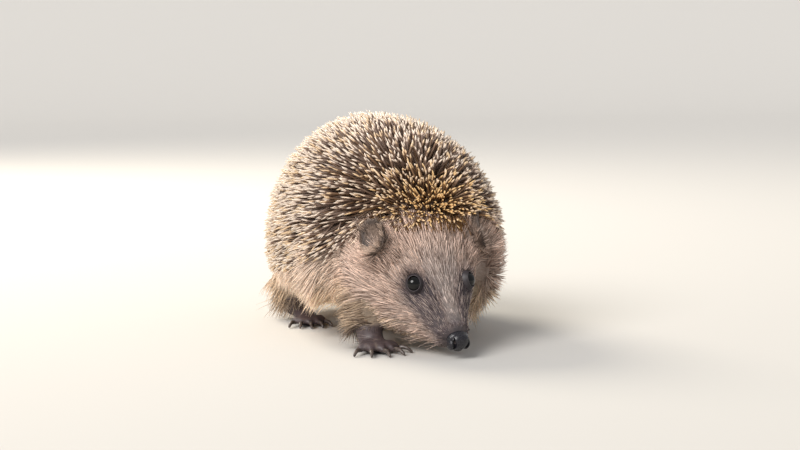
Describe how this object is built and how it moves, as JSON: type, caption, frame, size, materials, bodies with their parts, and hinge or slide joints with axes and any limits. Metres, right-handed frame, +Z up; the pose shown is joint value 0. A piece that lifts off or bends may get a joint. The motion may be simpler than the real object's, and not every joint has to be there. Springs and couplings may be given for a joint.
{
  "type": "hedgehog",
  "caption": "Young hedgehog walking with its nose lowered to the ground, a life-size still model with spines over the back and soft fur below.",
  "frame": {"origin": "middle of the bounding box, on the floor under the feet", "axes": "-Y the way the animal faces, +X its left, +Z up"},
  "size_m": [0.103, 0.191, 0.1],
  "materials": {
    "spines": "banded keratin spines, satin",
    "fur": "soft hair",
    "muzzle": "short hair",
    "foot": "bare grained skin",
    "claw": "satin horn",
    "ear": "thin skin with fine hair",
    "nose": "moist grained skin",
    "eye": "wet gloss"
  },
  "bodies": {
    "root": {"ear_left": "ear", "ear_right": "ear", "eye_left": "eye", "eye_right": "eye", "fore_left_claw_1": "claw", "fore_left_claw_2": "claw", "fore_left_claw_3": "claw", "fore_left_claw_4": "claw", "fore_left_claw_5": "claw", "fore_left_foot": "foot", "fore_left_leg": "fur", "fore_right_claw_1": "claw", "fore_right_claw_2": "claw", "fore_right_claw_3": "claw", "fore_right_claw_4": "claw", "fore_right_claw_5": "claw", "fore_right_foot": "foot", "fore_right_leg": "fur", "head": "fur", "hind_left_claw_1": "claw", "hind_left_claw_2": "claw", "hind_left_claw_3": "claw", "hind_left_claw_4": "claw", "hind_left_claw_5": "claw", "hind_left_foot": "foot", "hind_left_leg": "fur", "hind_right_claw_1": "claw", "hind_right_claw_2": "claw", "hind_right_claw_3": "claw", "hind_right_claw_4": "claw", "hind_right_claw_5": "claw", "hind_right_foot": "foot", "hind_right_leg": "fur", "lower_jaw": "muzzle", "neck": "fur", "nose": "nose", "tail": "fur", "trunk": "spines"}
  },
  "joints": []
}
